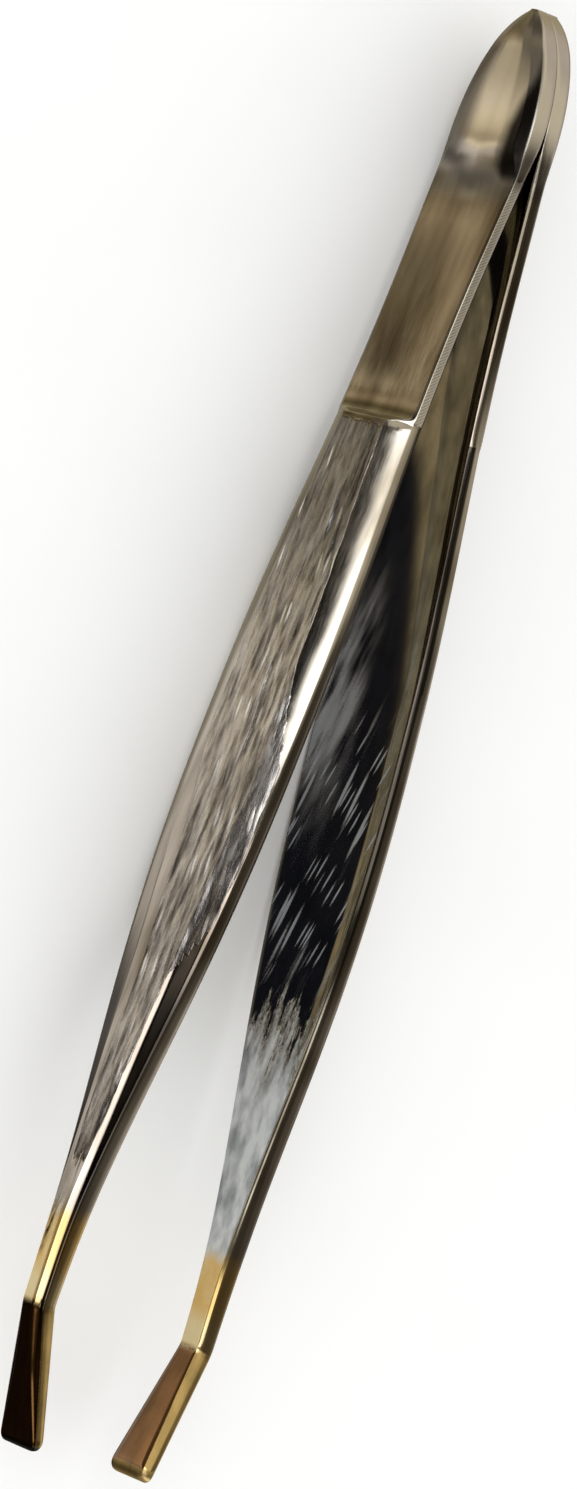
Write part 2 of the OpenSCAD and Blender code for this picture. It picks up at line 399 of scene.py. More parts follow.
def make_arm(node_name, name, side, seed):
    """One arm, from its packed skin: side is 1 for the left arm and -1 for the right one."""
    piece = joined_copy(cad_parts[node_name], name)
    ring, column, count = rings_and_columns(piece.data)
    sizes = section_sizes(piece.data, ring, column, count)
    dissolve_diagonals(piece, ring, column)
    crease_lines(piece, ring, column, count, sizes)
    add_face_lines(piece, ring, column, cuts=5)
    smooth_piece(piece, levels=2)
    co = points_of(piece.data)
    out = facing_out(piece.data, side)
    dome_head(co, sizes, side)
    round_bevels(co, out, sizes, side)
    share, height = grind_grip(co, out, sizes, side, seed)
    piece.data.vertices.foreach_set("co", co.ravel())
    across = place_across(co, sizes)
    # The stain attribute holds painted shade, which darkens the plate's colour
    for attribute, values in (
        ("ground", share),
        ("stroke", height),
        ("across", across),
        ("painted_shade", painted_shade_share(co, out, across, sizes, side)),
    ):
        piece.data.attributes.new(attribute, "FLOAT", "POINT").data.foreach_set("value", values)
    piece.data.update()
    only(piece)
    bpy.ops.object.shade_smooth()
    return piece


def dress_arm(piece, side, finishes):
    """Gives each face of an arm the finish of its region. The belt-ground finish is on the edges
    of the left arm's spring, and at the end of the right arm's jaw."""
    mesh = piece.data
    names = list(finishes)
    for name in names:
        mesh.materials.append(finishes[name])
    count = len(mesh.polygons)
    centre = np.empty(count * 3)
    normal = np.empty(count * 3)
    mesh.polygons.foreach_get("center", centre)
    mesh.polygons.foreach_get("normal", normal)
    s = (POINT_X - centre[0::3]) / MM
    to_head = normal[0::3]
    out = normal[1::3] * side
    upward = normal[2::3]
    finish = np.full(count, names.index("polished"))
    finish[(out > FACE_OUT) & (s > LEDGE)] = names.index("ground")
    finish[out < INNER_OUT] = names.index("inner")
    if side > 0:
        belt = (np.abs(upward) > 0.85) & (s > HEAD_FOOT) & (s < LEDGE)
    else:
        end_face = (to_head < -0.3) & (s > KNEE + 4)
        end_corners = s > JAW_END - 0.85
        belt = (end_face | end_corners) & (out < 0.5)
    finish[belt] = names.index("edge")
    mesh.polygons.foreach_set("material_index", finish)


# Finishes


def tone(code):
    """An sRGB hex colour as linear values."""
    parts = [int(code[i : i + 2], 16) / 255 for i in (1, 3, 5)]
    return [c / 12.92 if c <= 0.04045 else ((c + 0.055) / 1.055) ** 2.4 for c in parts] + [1]


def add(tree, kind, inputs=None, stops=None, **settings):
    """Adds a node. An input is a value, or the output socket that feeds it."""
    node = tree.nodes.new("ShaderNode" + kind)
    for name, value in settings.items():
        setattr(node, name, value)
    for socket, value in (inputs or {}).items():
        if isinstance(value, bpy.types.NodeSocket):
            tree.links.new(value, node.inputs[socket])
        else:
            node.inputs[socket].default_value = value
    if stops:
        points = node.color_ramp.elements
        for place, colour in stops[1:-1]:
            points.new(place).color = colour
        for point, (place, colour) in ((points[0], stops[0]), (points[-1], stops[-1])):
            point.position = place
            point.color = colour
    return node


# Sockets of a Mix node: its factor, its two values, its two colours and its mixed colour
FACTOR, VALUE_A, VALUE_B, COLOUR_A, COLOUR_B, COLOUR_OUT = 0, 2, 3, 6, 7, 2

# Roughness of each surface, and how metallic the plate looks where it is matt: its pits scatter
# up to half of the light
BUFFED_ROUGH = (0.08, 0.13)
HEAD_ROUGH = 0.22
NOTCH_ROUGH = 0.45
STROKES_ROUGH = (0.2, 0.32)
MATT_GOLD_ROUGH = 0.45
INNER_ROUGH = 0.06
MARRED_ROUGH = 0.42
SATIN_ROUGH = 0.55
BELT_ROUGH = (0.34, 0.44)
MATT_METALLIC = 0.5

# The brown-black of the painted shade
PAINTED_SHADE_COLOUR = "#2e2a27"


def start_finish(name):
    """An empty material, its node tree and its Object coordinates."""
    material = bpy.data.materials.new(name)
    material.use_nodes = True
    tree = material.node_tree
    tree.nodes.clear()
    place = add(tree, "TexCoord").outputs["Object"]
    return material, tree, place


def spread(tree, place, along, through, across, turn=0.0):
    """Object coordinates on which a pattern of one unit has these sizes, in mm. The turn, in
    degrees, slants it across the faces of the arms."""
    return add(
        tree, "Mapping",
        {"Vector": place, "Rotation": (0, math.radians(turn), 0),
         "Scale": (along * MM, through * MM, across * MM)},
        vector_type="TEXTURE",
    ).outputs["Vector"]


def between(tree, value, low, high, soft):
    """1 from low to high and 0 outside, with soft ends."""
    rise = add(
        tree, "MapRange", {"Value": value, "From Min": low - soft, "From Max": low + soft},
        interpolation_type="SMOOTHSTEP",
    ).outputs["Result"]
    fall = add(
        tree, "MapRange", {"Value": value, "From Min": high + soft, "From Max": high - soft},
        interpolation_type="SMOOTHSTEP",
    ).outputs["Result"]
    return add(tree, "Math", {0: rise, 1: fall}, operation="MULTIPLY").outputs[0]


def marks(tree, place, long, wide, turn, share):
    """Spindle-shaped marks of about this size in mm, each alone in its cell: 1 in the middle of a
    mark and 0 outside. The share of the cells that have one is from 0 to 1."""
    apart = add(tree, "SeparateXYZ", {"Vector": spread(tree, place, long, 1.0, wide, turn)}).outputs
    flat = add(tree, "CombineXYZ", {"X": apart["X"], "Y": apart["Z"]}).outputs[0]
    cell = add(tree, "TexVoronoi", {"Vector": flat, "Scale": 1.0}, voronoi_dimensions="2D").outputs
    spindle = add(
        tree, "MapRange", {"Value": cell["Distance"], "From Min": 0.3, "From Max": 0.12}
    ).outputs["Result"]
    chance = add(tree, "SeparateColor", {"Color": cell["Color"]}).outputs[0]
    chosen = add(
        tree, "MapRange", {"Value": chance, "From Min": 1 - share, "From Max": 1 - share + 0.2}
    ).outputs["Result"]
    return add(tree, "Math", {0: spindle, 1: chosen}, operation="MULTIPLY").outputs[0]


def along_arm(tree, place):
    """The distance from the point of the head, in mm."""
    x = add(tree, "SeparateXYZ", {"Vector": place}).outputs["X"]
    return add(
        tree, "MapRange",
        {"Value": x, "From Min": POINT_X, "From Max": POINT_X - 100 * MM, "To Max": 100.0},
        clamp=False,
    ).outputs["Result"]


def gold_share(tree, place, s):
    """1 where the jaws are gold plated, 0 elsewhere, with the ragged line of a dipped bath. The
    line wanders by up to half of ragged_by to either side, in mm."""
    ragged_by = 1.6
    soft = 0.6
    ragged = add(
        tree, "TexNoise",
        {"Vector": spread(tree, place, 1.0, 0.6, 0.6), "Scale": 1.0, "Detail": 3.0},
    ).outputs["Fac"]
    edge = add(
        tree, "Math", {0: ragged, 1: ragged_by, 2: s}, operation="MULTIPLY_ADD"
    ).outputs[0]
    line = GOLD_FROM + ragged_by / 2
    return add(
        tree, "MapRange", {"Value": edge, "From Min": line - soft, "From Max": line + soft}
    ).outputs["Result"]


def matt_share(tree, place, s, start):
    """1 where a neck is matt, because no wheel reached it: from a ragged line round start as far
    as the knee. The line wanders by up to half of ragged_by to either side, in mm."""
    ragged_by = 16.0
    soft = 2.0
    ragged = add(
        tree, "TexNoise",
        {"Vector": spread(tree, place, 3.2, 1.0, 0.7, -8), "Scale": 1.0, "Detail": 4.0,
         "Roughness": 0.7},
    ).outputs["Fac"]
    edge = add(
        tree, "Math", {0: ragged, 1: -ragged_by, 2: s}, operation="MULTIPLY_ADD"
    ).outputs[0]
    line = start - ragged_by / 2
    begin = add(
        tree, "MapRange", {"Value": edge, "From Min": line - soft, "From Max": line + soft}
    ).outputs["Result"]
    end = add(
        tree, "MapRange", {"Value": s, "From Min": KNEE + 0.25, "From Max": KNEE - 0.25}
    ).outputs["Result"]
    return add(tree, "Math", {0: begin, 1: end}, operation="MULTIPLY").outputs[0]


def gold_tones(tree, place, s):
    """Gold plate over nickel: a thin flash coat, warmer where it is thicker and pale at the knee,
    where it wears."""
    cloud = add(
        tree, "TexNoise",
        {"Vector": spread(tree, place, 3.0, 1.5, 1.5), "Scale": 1.0, "Detail": 2.0},
    ).outputs["Fac"]
    coat = add(
        tree, "ValToRGB", {"Fac": cloud},
        stops=[(0.3, tone("#f6cf80")), (0.7, tone("#ffe6ac"))],
    ).outputs["Color"]
    worn = between(tree, s, KNEE - 2.0, KNEE + 0.1, 0.8)
    return add(
        tree, "Mix", {FACTOR: worn, COLOUR_A: coat, COLOUR_B: tone("#ffecb8")}, data_type="RGBA"
    ).outputs[COLOUR_OUT]


def jaw_gold(tree, place, code):
    """The gold of a jaw, clouded with handling."""
    clouded = 0.72
    cloud = add(
        tree, "TexNoise",
        {"Vector": spread(tree, place, 2.2, 1.5, 0.9), "Scale": 1.0, "Detail": 3.0},
    ).outputs["Fac"]
    clean = tone(code)
    dim = [c * clouded for c in clean[:3]] + [1]
    return add(
        tree, "ValToRGB", {"Fac": cloud}, stops=[(0.34, dim), (0.62, clean)]
    ).outputs["Color"]


def finish_metal(material, tree, place, s, nickel, rough, bump, jaw="#f0d290", matt=None):
    """Joins the nickel, the gold and the painted shade into the shader of a plated metal. The jaw's
    colour is that of the gold below the knee; the ground and inner finishes give a darker one, as
    painted shade. Matt is the share that looks matt, from 0 to 1."""
    below_knee = add(
        tree, "MapRange", {"Value": s, "From Min": KNEE - 0.1, "From Max": KNEE + 0.3}
    ).outputs["Result"]
    neck_gold = gold_tones(tree, place, s)
    gold = add(
        tree, "Mix",
        {FACTOR: below_knee, COLOUR_A: neck_gold, COLOUR_B: jaw_gold(tree, place, jaw)},
        data_type="RGBA",
    ).outputs[COLOUR_OUT]
    plate = add(
        tree, "Mix", {FACTOR: gold_share(tree, place, s), COLOUR_A: nickel, COLOUR_B: gold},
        data_type="RGBA",
    ).outputs[COLOUR_OUT]
    # Painted shade darkens the plate towards brown-black
    painted_shade = add(tree, "Attribute", attribute_name="painted_shade").outputs["Fac"]
    colour = add(
        tree, "Mix", {FACTOR: painted_shade, COLOUR_A: plate, COLOUR_B: tone(PAINTED_SHADE_COLOUR)},
        data_type="RGBA",
    ).outputs[COLOUR_OUT]
    metallic = 1.0
    if matt:
        metallic = add(
            tree, "MapRange", {"Value": matt, "To Min": 1.0, "To Max": MATT_METALLIC}
        ).outputs["Result"]
    shader = add(
        tree, "BsdfPrincipled",
        {"Base Color": colour, "Metallic": metallic, "Roughness": rough, "Normal": bump},
    )
    add(tree, "OutputMaterial", {"Surface": shader.outputs["BSDF"]})
    return material


def buffed(tree, place):
    """The colour, roughness and normal of a face that a wheel has buffed. It is clouded in soft
    bands, and wavers a little, with faint hairlines along the arm that are 0.02 mm wide in life
    and drawn 0.12 mm wide."""
    cloud = add(
        tree, "TexNoise",
        {"Vector": spread(tree, place, 9.0, 5.0, 2.2), "Scale": 1.0, "Detail": 2.5},
    ).outputs["Fac"]
    colour = add(
        tree, "ValToRGB", {"Fac": cloud},
        stops=[(0.32, tone("#948a78")), (0.5, tone("#c8c0b3")), (0.68, tone("#e8e2d6"))],
    ).outputs["Color"]
    hair = add(
        tree, "TexNoise",
        {"Vector": spread(tree, place, 8.0, 0.12, 0.12), "Scale": 1.0, "Detail": 1.0},
    ).outputs["Fac"]
    rough = add(
        tree, "MapRange",
        {"Value": hair, "From Min": 0.3, "From Max": 0.7,
         "To Min": BUFFED_ROUGH[0], "To Max": BUFFED_ROUGH[1]},
    ).outputs["Result"]
    waver = add(
        tree, "TexNoise",
        {"Vector": spread(tree, place, 7.0, 4.0, 3.0), "Scale": 1.0, "Detail": 1.0},
    ).outputs["Fac"]
    bump = add(
        tree, "Bump", {"Height": waver, "Distance": 0.05 * MM, "Strength": 1.0}
    ).outputs["Normal"]
    return colour, rough, bump


def polished_nickel():
    """Nickel plate on spring steel, buffed on a wheel as far as the necks. The eye gets a warm
    mirror, softer on the head, with dark borders of painted shade."""
    material, tree, place = start_finish("nickel_plate_buffed")
    s = along_arm(tree, place)
    colour, rough, bump = buffed(tree, place)
    on_head = between(tree, s, -5.0, HEAD_FOOT, 0.8)
    fresh = add(tree, "Math", {0: on_head, 1: 0.8}, operation="MULTIPLY").outputs[0]
    colour = add(
        tree, "Mix", {FACTOR: fresh, COLOUR_A: colour, COLOUR_B: tone("#f0eae0")}, data_type="RGBA"
    ).outputs[COLOUR_OUT]
    rough = add(
        tree, "Mix", {FACTOR: on_head, VALUE_A: rough, VALUE_B: HEAD_ROUGH}, data_type="FLOAT"
    ).outputs[0]
    # No wheel reaches the notch at the head's foot
    across = add(tree, "Attribute", attribute_name="across").outputs["Fac"]
    notch = add(
        tree, "Math",
        {0: between(tree, s, *NOTCH, 1.0), 1: between(tree, across, -0.96, 0.96, 0.03)},
        operation="MULTIPLY",
    ).outputs[0]
    rough = add(
        tree, "Mix", {FACTOR: notch, VALUE_A: rough, VALUE_B: NOTCH_ROUGH}, data_type="FLOAT"
    ).outputs[0]
    return finish_metal(material, tree, place, s, colour, rough, bump)


def texture_share(tree, place):
    """1 on the ground texture of a grip and 0 outside, with a ragged edge."""
    mask = add(tree, "Attribute", attribute_name="ground").outputs["Fac"]
    ragged = add(
        tree, "TexNoise",
        {"Vector": spread(tree, place, 1.6, 0.5, 0.4), "Scale": 1.0, "Detail": 2.0},
    ).outputs["Fac"]
    edge = add(tree, "Math", {0: ragged, 1: 0.9, 2: mask}, operation="MULTIPLY_ADD").outputs[0]
    return add(
        tree, "MapRange", {"Value": edge, "From Min": 0.85, "From Max": 1.0}
    ).outputs["Result"]


def stroke_tones(tree, place, s, streak, ridge_and_glint_marks):
    """The colours of the grinding strokes, with painted light and shade: lighter on the ones that
    stand up, as a painted highlight, and darker towards the ledge. Scattered marks add painted
    glints, and others painted shade in the grooves."""
    stroke = add(tree, "Attribute", attribute_name="stroke").outputs["Fac"]
    level = add(tree, "Math", {0: stroke, 1: 0.12, 2: streak}, operation="MULTIPLY_ADD").outputs[0]
    colour = add(
        tree, "ValToRGB", {"Fac": level},
        stops=[(0.25, tone("#6c6865")), (0.42, tone("#aaa6a3")), (0.55, tone("#d8d4d2")),
               (0.66, tone("#f2f0ee")), (0.78, tone("#ffffff"))],
    ).outputs["Color"]
    darker_to_ledge = add(
        tree, "MapRange",
        {"Value": s, "From Min": 44.0, "From Max": 34.0, "To Max": 0.5},
        interpolation_type="SMOOTHSTEP",
    ).outputs["Result"]
    groove_shade_marks = marks(tree, place, 2.4, 0.4, -7, 0.14)
    for share, code in ((darker_to_ledge, "#000000"), (ridge_and_glint_marks, "#fffdf8"), (groove_shade_marks, "#6e645a")):
        colour = add(
            tree, "Mix", {FACTOR: share, COLOUR_A: colour, COLOUR_B: tone(code)}, data_type="RGBA"
        ).outputs[COLOUR_OUT]
    return colour


def ground_nickel():
    """Nickel plate over a face that was ground with coarse strokes before plating, so that
    fingers don't slip, and buffed beside it. The eye gets a broken sheen, with light ridges and
    brown grooves that are partly painted highlight and painted shade, and it ends in a ragged line
    where the wheel passed."""
    material, tree, place = start_finish("nickel_plate_over_ground_steel")
    s = along_arm(tree, place)
    bright, shiny, smooth = buffed(tree, place)
    share = texture_share(tree, place)
    streak = add(
        tree, "TexNoise",
        {"Vector": spread(tree, place, 2.4, 0.6, 0.5), "Scale": 1.0, "Detail": 3.0,
         "Roughness": 0.65},
    ).outputs["Fac"]
    # Light marks: raised in the bump, and painted as glints in the colour
    ridge_and_glint_marks = marks(tree, place, 3.4, 0.55, 5, 0.3)
    marked = stroke_tones(tree, place, s, streak, ridge_and_glint_marks)
    colour = add(
        tree, "Mix", {FACTOR: share, COLOUR_A: bright, COLOUR_B: marked}, data_type="RGBA"
    ).outputs[COLOUR_OUT]
    dull = add(
        tree, "MapRange",
        {"Value": streak, "From Min": 0.3, "From Max": 0.7,
         "To Min": STROKES_ROUGH[0], "To Max": STROKES_ROUGH[1]},
    ).outputs["Result"]
    rough = add(
        tree, "Mix", {FACTOR: share, VALUE_A: shiny, VALUE_B: dull}, data_type="FLOAT"
    ).outputs[0]
    # The gold above the knees is matt, apart from a strip along the upper edge of the face
    across = add(tree, "Attribute", attribute_name="across").outputs["Fac"]
    matt = add(
        tree, "Math",
        {0: matt_share(tree, place, s, MATT_GOLD_FROM), 1: between(tree, across, -2.0, 0.3, 0.1)},
        operation="MULTIPLY",
    ).outputs[0]
    rough = add(
        tree, "Mix", {FACTOR: matt, VALUE_A: rough, VALUE_B: MATT_GOLD_ROUGH}, data_type="FLOAT"
    ).outputs[0]
    ridge = add(tree, "Math", {0: ridge_and_glint_marks, 1: 0.4, 2: streak}, operation="MULTIPLY_ADD").outputs[0]
    ridge = add(tree, "Math", {0: ridge, 1: share}, operation="MULTIPLY").outputs[0]
    bump = add(
        tree, "Bump",
        {"Height": ridge, "Distance": 0.04 * MM, "Strength": 1.0, "Normal": smooth},
    ).outputs["Normal"]
    # The marks with painted glints are nearly as matt as the gold
    scattered = add(tree, "Math", {0: ridge_and_glint_marks, 1: share}, operation="MULTIPLY").outputs[0]
    scattered = add(
        tree, "Math", {0: scattered, 1: 0.7, 2: matt}, operation="MULTIPLY_ADD"
    ).outputs[0]
    # The jaw's gold on this face is darkened as painted shade
    return finish_metal(
        material, tree, place, s, colour, rough, bump, jaw="#8a643e", matt=scattered
    )


# How far the inner faces lean towards the upper edge, and how far they are crowned across, both
# in radians, by the distance from the point of the head in mm: the belt took a little more off
# one side, and swept across on its way down
INNER_SHAPE = (
    (10, -0.012, 0.0), (20, -0.012, 0.0), (23.5, 0.025, 0.0), (26, 0.03, 0.01), (31, 0.006, 0.05),
    (34, -0.006, 0.05), (38, -0.02, 0.05), (43, -0.038, 0.05), (48, -0.045, 0.05),
    (53, -0.055, 0.05), (58, -0.073, 0.05),
)
LEAN_LIMIT = 0.08

# The colour ramp that holds them covers this length from the point of the head, in mm
SHAPE_LONG = 100.0


def inner_slope(tree, place, s):
    """The normal of an inner face that leans and is slightly crowned across. The crown has its
    full slope at crown_at from the middle, and is worked out as far as reach, both in mm."""
    crown_at = 4.5
    reach = 6.0
    share = add(tree, "Math", {0: s, 1: SHAPE_LONG}, operation="DIVIDE").outputs[0]
    ramp = add(
        tree, "ValToRGB", {"Fac": share},
        stops=[
            (at / SHAPE_LONG, [0.5 + 0.5 * lean / LEAN_LIMIT, crown / LEAN_LIMIT, 0, 1])
            for at, lean, crown in INNER_SHAPE
        ],
    ).outputs["Color"]
    shape = add(tree, "SeparateColor", {"Color": ramp}).outputs
    lean = add(
        tree, "MapRange", {"Value": shape["Red"], "To Min": -LEAN_LIMIT, "To Max": LEAN_LIMIT}
    ).outputs["Result"]
    crown = add(
        tree, "MapRange", {"Value": shape["Green"], "To Max": LEAN_LIMIT / 2 / crown_at}
    ).outputs["Result"]
    z = add(tree, "SeparateXYZ", {"Vector": place}).outputs["Z"]
    across = add(
        tree, "MapRange",
        {"Value": z, "From Min": MIDDLE_Z - reach * MM, "From Max": MIDDLE_Z + reach * MM,
         "To Min": -reach, "To Max": reach},
    ).outputs["Result"]
    tilt = add(tree, "Math", {0: across, 1: crown, 2: lean}, operation="MULTIPLY_ADD").outputs[0]
    drop = add(tree, "Math", {0: tilt, 1: across}, operation="MULTIPLY").outputs[0]
    return add(
        tree, "Bump", {"Height": drop, "Distance": MM, "Strength": 1.0}, invert=True
    ).outputs["Normal"]


def scratches(tree, place, s):
    """Long scratches from use, in the part of the face where the arms are handled."""
    handled = between(tree, s, *SCRATCHED, 3.0)
    long = marks(tree, place, 8.0, 0.75, -20, 0.6)
    short = marks(tree, place, 4.0, 0.4, -26, 0.45)
    scratch = add(tree, "Math", {0: long, 1: short}, operation="MAXIMUM").outputs[0]
    return add(tree, "Math", {0: scratch, 1: handled}, operation="MULTIPLY").outputs[0]


def finger_haze(tree, place, s):
    """A haze of wear over the lower half of the grips' inner faces, in soft streaks."""
    z = add(tree, "SeparateXYZ", {"Vector": place}).outputs["Z"]
    streak = add(
        tree, "TexNoise",
        {"Vector": spread(tree, place, 5.0, 1.0, 0.9, -20), "Scale": 1.0, "Detail": 2.0},
    ).outputs["Fac"]
    haze = add(
        tree, "MapRange", {"Value": streak, "From Min": 0.3, "From Max": 0.66, "To Max": 0.9}
    ).outputs["Result"]
    for limits in (
        between(tree, s, *HAZE, 5.0),
        between(tree, z, -1.0, MIDDLE_Z - 0.8 * MM, 1.4 * MM),
    ):
        haze = add(tree, "Math", {0: haze, 1: limits}, operation="MULTIPLY").outputs[0]
    return haze


def inner_nickel():
    """Nickel plate on the inner faces: buffed as far as the necks, with scratches and a haze from
    use that are tinted pale blue as a painted reflection, and a matt satin from there to the knees,
    where no wheel reached."""
    material, tree, place = start_finish("nickel_plate_inner_face")
    s = along_arm(tree, place)
    matt = matt_share(tree, place, s, SATIN_FROM)
    marred_with_sheen = add(
        tree, "Math", {0: scratches(tree, place, s), 1: finger_haze(tree, place, s)},
        operation="MAXIMUM",
    ).outputs[0]
    blotch = add(
        tree, "TexNoise",
        {"Vector": spread(tree, place, 2.4, 1.5, 1.2), "Scale": 1.0, "Detail": 3.0},
    ).outputs["Fac"]
    bright = add(
        tree, "ValToRGB", {"Fac": blotch},
        stops=[(0.3, tone("#a8a49a")), (0.7, tone("#dad6cc"))],
    ).outputs["Color"]
    # The scratches and haze are tinted pale blue: a painted reflection
    bright = add(
        tree, "Mix", {FACTOR: marred_with_sheen, COLOUR_A: bright, COLOUR_B: tone("#dce6f4")}, data_type="RGBA"
    ).outputs[COLOUR_OUT]
    satin = add(
        tree, "ValToRGB", {"Fac": blotch},
        stops=[(0.3, tone("#a4aaac")), (0.48, tone("#dadee0")), (0.6, tone("#f4f8f8"))],
    ).outputs["Color"]
    nickel = add(
        tree, "Mix", {FACTOR: matt, COLOUR_A: bright, COLOUR_B: satin}, data_type="RGBA"
    ).outputs[COLOUR_OUT]
    rough = add(
        tree, "Mix", {FACTOR: marred_with_sheen, VALUE_A: INNER_ROUGH, VALUE_B: MARRED_ROUGH},
        data_type="FLOAT",
    ).outputs[0]
    rough = add(
        tree, "Mix", {FACTOR: matt, VALUE_A: rough, VALUE_B: SATIN_ROUGH}, data_type="FLOAT"
    ).outputs[0]
    # The grain of the satin is 0.05 mm wide in life, and drawn 0.3 mm wide
    grain = add(
        tree, "TexNoise",
        {"Vector": spread(tree, place, 0.35, 0.3, 0.3), "Scale": 1.0, "Detail": 2.0},
    ).outputs["Fac"]
    relief = add(tree, "Math", {0: matt, 1: grain}, operation="MULTIPLY").outputs[0]
    bump = add(
        tree, "Bump",
        {"Height": relief, "Distance": 0.08 * MM, "Strength": 1.0,
         "Normal": inner_slope(tree, place, s)},
    ).outputs["Normal"]
    scattered = add(tree, "Math", {0: marred_with_sheen, 1: 0.35}, operation="MULTIPLY").outputs[0]
    scattered = add(tree, "Math", {0: scattered, 1: matt}, operation="MAXIMUM").outputs[0]
    # The jaw's gold on this face is darkened as painted shade
    return finish_metal(
        material, tree, place, s, nickel, rough, bump, jaw="#947050", matt=scattered
    )


def edge_nickel():
    """Nickel plate on edges that a belt ground square across. The eye gets a light strip with
    fine slanted lines, 0.05 mm apart in life and drawn 0.2 mm apart."""
    material, tree, place = start_finish("nickel_plate_belt_ground_edge")
    s = along_arm(tree, place)
    lines = add(
        tree, "TexWave",
        {"Vector": spread(tree, place, 1.0, 1.3, 1.0), "Scale": 3.0, "Distortion": 1.2,
         "Detail": 2.0, "Detail Scale": 1.5},
        bands_direction="DIAGONAL",
    ).outputs["Fac"]
    nickel = add(
        tree, "ValToRGB", {"Fac": lines},
        stops=[(0.2, tone("#d8d2c6")), (0.8, tone("#fffcf4"))],
    ).outputs["Color"]
    bump = add(
        tree, "Bump", {"Height": lines, "Distance": 0.002 * MM, "Strength": 1.0}
    ).outputs["Normal"]
    fine = add(
        tree, "TexNoise",
        {"Vector": spread(tree, place, 0.5, 1.0, 0.5), "Scale": 1.0, "Detail": 2.0},
    ).outputs["Fac"]
    rough = add(
        tree, "MapRange",
        {"Value": fine, "From Min": 0.3, "From Max": 0.7,
         "To Min": BELT_ROUGH[0], "To Max": BELT_ROUGH[1]},
    ).outputs["Result"]
    return finish_metal(material, tree, place, s, nickel, rough, bump)


# Studio

# The tent's colours are divided by this, and its light is as many times stronger, so that a card
# can be brighter than white. The dome for the floor has a strength of its own.
STUDIO_GAIN = 4.0
DOME_STRENGTH = 1.13

# The colours of the tent's walls, from 0 straight down to 1 straight up
LEFT_WALL = (
    (0.0, "#847e70"), (0.03, "#7c7467"), (0.16, "#4a4234"), (0.21, "#2c2820"), (0.3, "#16181c"),
    (0.4, "#38342c"), (0.8, "#5a5548"), (0.93, "#4c463c"),
)
RIGHT_WALL = (
    (0.0, "#847e70"), (0.1, "#9a9078"), (0.4, "#a99f86"), (0.5, "#b5aaa0"), (0.7, "#b0aaa2"),
    (0.84, "#6e6860"), (0.92, "#423c34"), (0.96, "#403a32"),
)

# Those of the table cloth on the left, from 0 at the jaws' side to 1 at the head's side
CLOTH = (
    (0.06, "#2c241c"), (0.2, "#1c1a1c"), (0.34, "#14161c"), (0.385, "#1c1c20"),
    (0.405, "#a8a09a"), (0.44, "#cec8c2"), (0.51, "#cec8c2"), (0.535, "#a49c92"),
    (0.555, "#7a6e5e"), (0.568, "#665843"), (0.582, "#8a7a5e"), (0.6, "#a8977a"),
    (0.65, "#7d6e52"), (0.72, "#574f38"), (0.9, "#7a7052"),
)

# The cards on the left side of the tent, each in front of the ones before it: colour, brightness,
# limits and softness as hang_card takes them, and slant
LEFT_CARDS = (
    # Cream paper on the cloth, for the pads of the head
    ("#f2e2bc", 1.1, (0.095, 0.158), (-0.9, -0.7), 0.012, 0.03, 0),
    # Dull strip towards the head, for the borders of its face and of the jaws
    ("#70685a", 1, (0.2, 0.5), (-0.74, -0.36), 0.03, 0.05, 0),
    # Grey strip beside it, for the slopes of the grinding strokes and the bevels of the necks
    ("#989088", 1, (0.035, 0.17), (-0.7, -0.54), 0.012, 0.03, 0),
    # Olive strip above the cloth, for the borders of the inner faces
    ("#8a7c60", 1, (-0.12, 0.01), (-0.82, -0.69), 0.02, 0.012, 0),
    # Big white card, for the wide bevels of the grips
    ("#ffffff", 2.6, (0.105, 0.29), (-0.6, 0.25), 0.015, 0.05, 1.9),
    # Grey card towards the head, for its walls and the seam
    ("#c4bcac", 1, (0.3, 2.0), (-0.34, 0.9), 0.03, 0.08, 0),
    # Grey card beyond the head, for the small flat at its point
    ("#8c8474", 1, (0.64, 2.0), (-2.0, -0.26), 0.04, 0.05, 0),
    # Narrow cards, for the corner chamfers of the left arm's neck
    ("#fff6f4", 2.0, (-0.085, 0.0), (-0.12, 0.56), 0.012, 0.03, 0),
    ("#fff6f4", 1.8, (0.0, 0.04), (-0.26, 0.2), 0.012, 0.05, 0),
    # Narrow cards, for those of the right arm's neck and of its gold
    ("#fffdf4", 1.3, (-0.35, -0.27), (0.53, 0.64), 0.01, 0.012, 0),
    ("#fffdf4", 1.3, (-0.25, -0.205), (-0.16, 0.16), 0.01, 0.03, 0),
    ("#fffdf4", 1.3, (-0.185, -0.09), (0.2, 0.64), 0.01, 0.03, 0),
)

# The cards that reach across both sides of the tent
WIDE_CARDS = (
    # Grey wall beyond the jaws, with a window in it, for the views from the head's end
    ("#7a7468", 1, (-2.0, -0.47), (-2.0, 2.0), 0.05, 0.1, 0),
    ("#ffffff", 1.2, (-0.95, -0.55), (0.1, 0.7), 0.06, 0.12, 0),
    # Grey card overhead on the head's side, for the walls of the head and of the jaws
    ("#c8c0ae", 1, (0.15, 2.0), (0.5, 2.0), 0.07, 0.15, 0),
)


def studio(code, gain=1.0):
    """A colour of the tent, made this many times brighter and divided as its light asks for."""
    return [c * gain / STUDIO_GAIN for c in tone(code)[:3]] + [1]


def hang_card(tree, behind, way, code, gain, x, z, soft_x, soft_z, slant):
    """Hangs a card in front of what is behind it. Its limits are those of the directions that
    lead to it: x towards the head of the tweezers, and z upwards. A slant lifts z as x grows."""
    level = add(
        tree, "Math", {0: way["X"], 1: -slant, 2: way["Z"]}, operation="MULTIPLY_ADD"
    ).outputs[0]
    over = add(
        tree, "Math",
        {0: between(tree, way["X"], *x, soft_x), 1: between(tree, level, *z, soft_z)},
        operation="MULTIPLY",
    ).outputs[0]
    return add(
        tree, "Mix", {FACTOR: over, COLOUR_A: behind, COLOUR_B: studio(code, gain)},
        data_type="RGBA",
    ).outputs[COLOUR_OUT]


